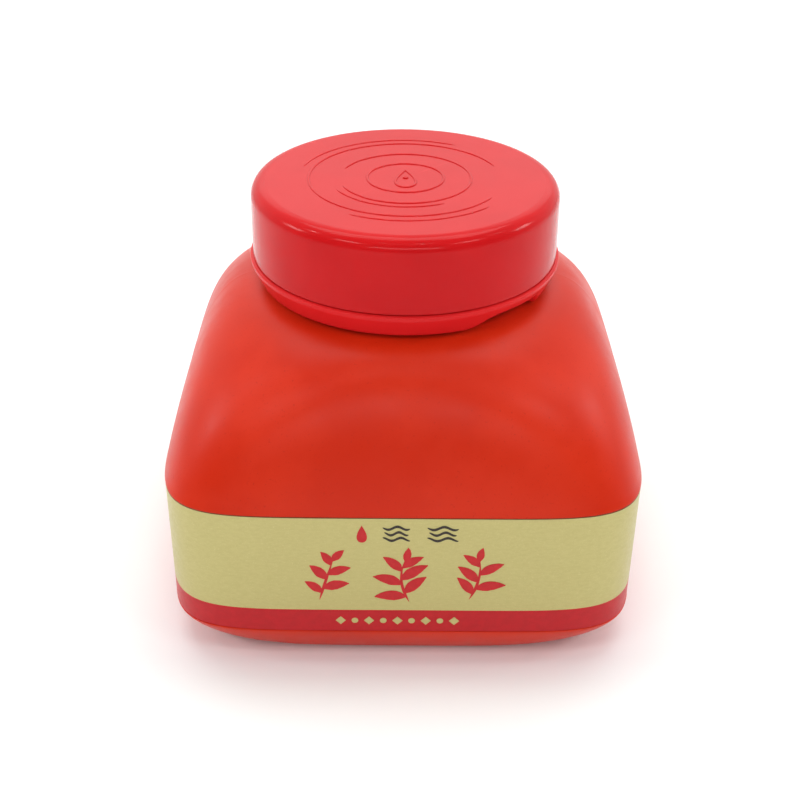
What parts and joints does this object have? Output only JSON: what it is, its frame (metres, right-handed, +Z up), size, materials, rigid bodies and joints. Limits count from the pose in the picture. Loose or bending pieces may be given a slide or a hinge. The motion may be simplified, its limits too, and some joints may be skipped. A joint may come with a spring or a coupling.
{
  "type": "ink bottle",
  "caption": "Squat square wide-mouth ink bottle with a round screw cap, a flared neck collar, a mouth insert and a wrap-around label.",
  "frame": {"origin": "middle of the resting face, on the surface the bottle stands on", "axes": "+Z up along the cap's axis, -Y out of the labelled front, +X to the right seen from the front"},
  "size_m": [0.08, 0.08, 0.0716],
  "materials": {
    "bottle": "satin blow-moulded vermilion polyethylene",
    "label": "coated pale gold paper with a crimson stripe along its lower edge",
    "ink": "wet vermilion liquid",
    "insert": "natural white polyethylene",
    "collar": "glossy moulded red polypropylene",
    "liner": "white closed-cell foam",
    "cap": "glossy moulded red polypropylene"
  },
  "bodies": {
    "bottle": {"bottle_body": "bottle", "label_wrap": "label", "ink_fill": "ink", "inner_plug": "insert", "collar_ring": "collar"},
    "liner": {"cap_liner": "liner"},
    "cap": {"cap_shell": "cap"}
  },
  "joints": [
    {"name": "cap_lift", "type": "slide", "parent": "bottle", "child": "liner", "axis": [0, 0, 1], "range_m": [0, 0.021]},
    {"name": "cap_turn", "type": "hinge", "parent": "liner", "child": "cap", "pos_m": [0, 0, 0.059], "axis": [0, 0, 1], "range_deg": [0, 1800]}
  ],
  "couplings": [
    {"joint": "cap_lift", "follows": "cap_turn", "m_per_rad": 0.00066845}
  ]
}
